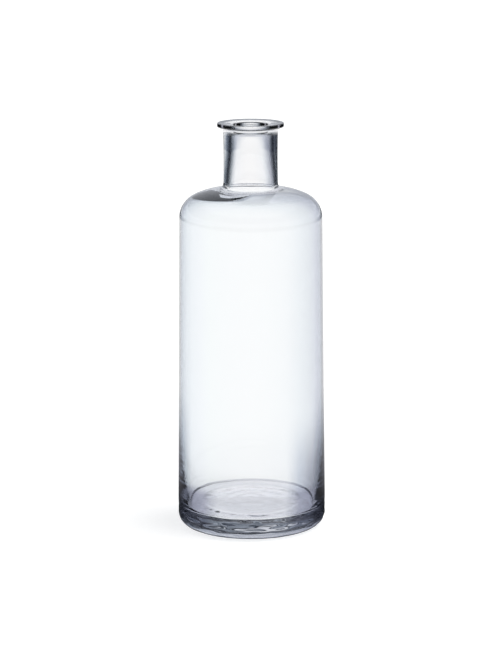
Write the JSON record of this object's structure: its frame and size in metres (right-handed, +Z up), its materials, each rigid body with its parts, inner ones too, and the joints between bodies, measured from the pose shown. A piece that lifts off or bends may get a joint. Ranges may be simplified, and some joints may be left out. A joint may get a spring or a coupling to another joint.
{
  "type": "bottle vase",
  "caption": "Tall round bottle vase of clear glass with a rounded shoulder, a narrow neck, a flat lip and a heavy base, for a few flower stems.",
  "frame": {"origin": "centre of the base, on the surface that the vase stands on", "axes": "+Z up along the axis of the vase, from the base to the mouth; the vase is round, so X and Y are free"},
  "size_m": [0.1204, 0.1204, 0.33],
  "materials": {
    "clear_glass": "fire-polished clear glass",
    "base_glass": "fire-polished clear glass, thick",
    "lip_glass": "fire-polished clear glass, thick"
  },
  "bodies": {
    "root": {"blown_body": "clear_glass", "heavy_base": "base_glass", "lip_ring": "lip_glass"}
  },
  "joints": []
}
